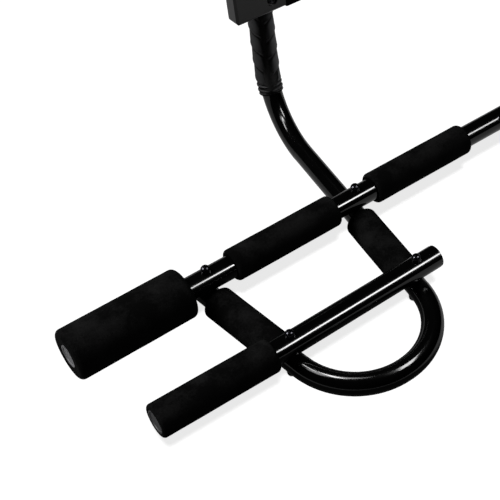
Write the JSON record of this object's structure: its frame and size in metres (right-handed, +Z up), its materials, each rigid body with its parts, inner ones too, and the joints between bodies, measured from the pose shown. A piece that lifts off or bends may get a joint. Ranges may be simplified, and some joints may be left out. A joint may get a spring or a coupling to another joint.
{
  "type": "doorway pull-up bar",
  "caption": "Doorway pull-up bar with foam-covered long bar and rollers, bent grip loops, raised short bars and a braced door-trim hook.",
  "frame": {"origin": "bottom centre of the bounding box: the middle of the bar, on the floor under the loops' domed nuts", "axes": "+X along the long bar to its right end, +Y from the user towards the hook, +Z up"},
  "size_m": [1.174, 0.445, 0.2469],
  "materials": {
    "black_paint": "gloss",
    "beam_paint": "satin",
    "foam": "matte",
    "grey_plug": "satin",
    "dark_plug": "satin",
    "black_cap": "gloss",
    "sleeve_rubber": "satin",
    "cover_plastic": "satin",
    "pad_rubber": "matte",
    "black_steel": "satin"
  },
  "bodies": {
    "root": {"left_long_bar": "black_paint", "right_long_bar": "black_paint", "joint_tube": "beam_paint", "joint_screws": "black_steel", "left_roller": "foam", "right_roller": "foam", "left_outer_grip": "foam", "right_outer_grip": "foam", "left_inner_grip": "foam", "right_inner_grip": "foam", "left_long_plug": "grey_plug", "right_long_plug": "grey_plug", "left_short_bar": "black_paint", "right_short_bar": "black_paint", "left_short_grip": "foam", "right_short_grip": "foam", "left_short_plug": "dark_plug", "right_short_plug": "dark_plug", "left_short_cap": "black_cap", "right_short_cap": "black_cap", "left_loop_tube": "black_paint", "right_loop_tube": "black_paint", "left_outer_leg_grip": "foam", "right_outer_leg_grip": "foam", "left_inner_leg_grip": "foam", "right_inner_leg_grip": "foam", "left_leg_plug": "dark_plug", "right_leg_plug": "dark_plug", "left_upright_plug": "black_steel", "right_upright_plug": "black_steel", "left_upright_sleeve": "black_steel", "right_upright_sleeve": "black_steel", "cross_bolts": "black_steel", "cross_washers": "black_steel", "cross_nuts": "black_steel", "hook_beam": "beam_paint", "left_hook_cover": "cover_plastic", "right_hook_cover": "cover_plastic", "hook_pad": "pad_rubber", "hook_bolts": "black_steel", "hook_washers": "black_steel", "hook_nuts": "black_steel"}
  },
  "joints": []
}
